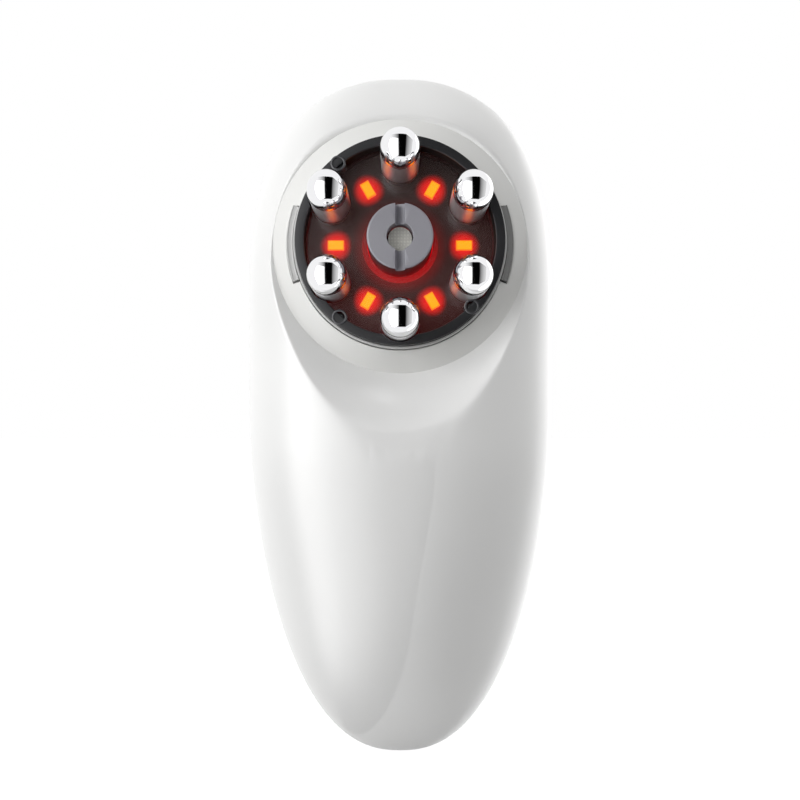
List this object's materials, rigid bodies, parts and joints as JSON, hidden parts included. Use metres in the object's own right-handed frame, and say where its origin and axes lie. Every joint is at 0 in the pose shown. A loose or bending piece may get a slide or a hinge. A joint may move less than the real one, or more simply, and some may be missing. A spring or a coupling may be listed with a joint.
{
  "type": "vacuum body sculpting device",
  "caption": "Hand-held egg-shaped vacuum massager: a round head with a suction hub among domed plated electrodes on the front, press buttons round a light ring on the back.",
  "frame": {"origin": "centre of the bounding box's bottom, at the tail tip's height", "axes": "+Z along the body from the tail to the head end; +Y out of the back with the buttons; the treatment head faces -Y"},
  "size_m": [0.0624, 0.0494, 0.14],
  "materials": {
    "pearl_white_plastic": "gloss",
    "polished_chrome": "polished",
    "electrode_chrome": "polished",
    "black_plastic": "semi-gloss",
    "black_screw": "blackened",
    "satin_lip": "gloss",
    "smoked_plastic": "smoked clear",
    "hub_grey": "satin",
    "filter_mesh": "woven",
    "clip_grey": "satin",
    "board_black": "solder mask",
    "brass_nut": "machined",
    "dark_plastic": "moulded",
    "plated_steel": "zinc plated",
    "red_lamp": "lit lens",
    "button_white": "gloss",
    "switch_grey": "moulded",
    "amber_light": "lit, translucent",
    "indicator_red": "lit lens",
    "indicator_dark": "unlit lens",
    "board_green": "solder mask",
    "lamp_cream": "lens",
    "chip_black": "moulded epoxy",
    "cell_blue": "shrink sleeve",
    "cradle_grey": "moulded",
    "motor_steel": "drawn can",
    "pump_grey": "moulded",
    "tube_silicone": "translucent silicone",
    "valve_grey": "lacquered",
    "spring_steel": "bright wire"
  },
  "bodies": {
    "housing": {"front_shell": "pearl_white_plastic", "back_cover": "pearl_white_plastic", "trim_band": "polished_chrome", "head_bezel": "black_plastic", "bezel_screws": "black_screw", "head_lip_ring": "satin_lip", "head_window": "smoked_plastic", "suction_hub": "hub_grey", "hub_filter": "filter_mesh", "hub_gasket": "tube_silicone", "left_clip": "clip_grey", "right_clip": "clip_grey", "lamp_board": "board_black", "electrode_nuts": "brass_nut", "head_tray": "dark_plastic", "tray_screws": "plated_steel", "electrode_1": "electrode_chrome", "red_lamp_1": "red_lamp", "electrode_2": "electrode_chrome", "red_lamp_2": "red_lamp", "electrode_3": "electrode_chrome", "red_lamp_3": "red_lamp", "electrode_4": "electrode_chrome", "red_lamp_4": "red_lamp", "electrode_5": "electrode_chrome", "red_lamp_5": "red_lamp", "electrode_6": "electrode_chrome", "red_lamp_6": "red_lamp", "button_switches": "switch_grey", "light_ring": "amber_light", "centre_cap": "button_white", "indicator_1": "indicator_red", "indicator_2": "indicator_dark", "control_board": "board_green", "board_lamps": "lamp_cream", "board_chips": "chip_black", "board_screws": "plated_steel", "chassis": "dark_plastic", "chassis_screws": "plated_steel", "battery_cell": "cell_blue", "battery_cradle": "cradle_grey", "pump_motor": "motor_steel", "pump_bracket": "cradle_grey", "pump_head": "pump_grey", "air_tube": "tube_silicone", "valve_body": "valve_grey", "valve_spring": "spring_steel", "charge_board": "board_green", "charge_socket": "plated_steel"},
    "power_key": {"power_button": "button_white"},
    "level_key": {"level_button": "button_white"},
    "pulse_key": {"pulse_button": "button_white"},
    "rotor": {"pump_rotor": "brass_nut"},
    "valve_stem": {"valve_plunger": "plated_steel"}
  },
  "joints": [
    {"name": "power_press", "type": "slide", "parent": "housing", "child": "power_key", "axis": [0, -1, 0], "range_m": [0, 0.0005], "stiffness_N_per_m": 600, "springref_m": -0.0003},
    {"name": "level_press", "type": "slide", "parent": "housing", "child": "level_key", "axis": [0, -1, 0], "range_m": [0, 0.0005], "stiffness_N_per_m": 600, "springref_m": -0.0003},
    {"name": "pulse_press", "type": "slide", "parent": "housing", "child": "pulse_key", "axis": [0, -1, 0], "range_m": [0, 0.0005], "stiffness_N_per_m": 600, "springref_m": -0.0003},
    {"name": "rotor_spin", "type": "hinge", "parent": "housing", "child": "rotor", "pos_m": [0.0122, 0.0023, 0.066], "axis": [0, 0, 1], "continuous": true},
    {"name": "valve_pull", "type": "slide", "parent": "housing", "child": "valve_stem", "axis": [0, 0, -1], "range_m": [0, 0.001], "stiffness_N_per_m": 200, "springref_m": -0.0005, "deforming": ["valve_spring"]}
  ]
}
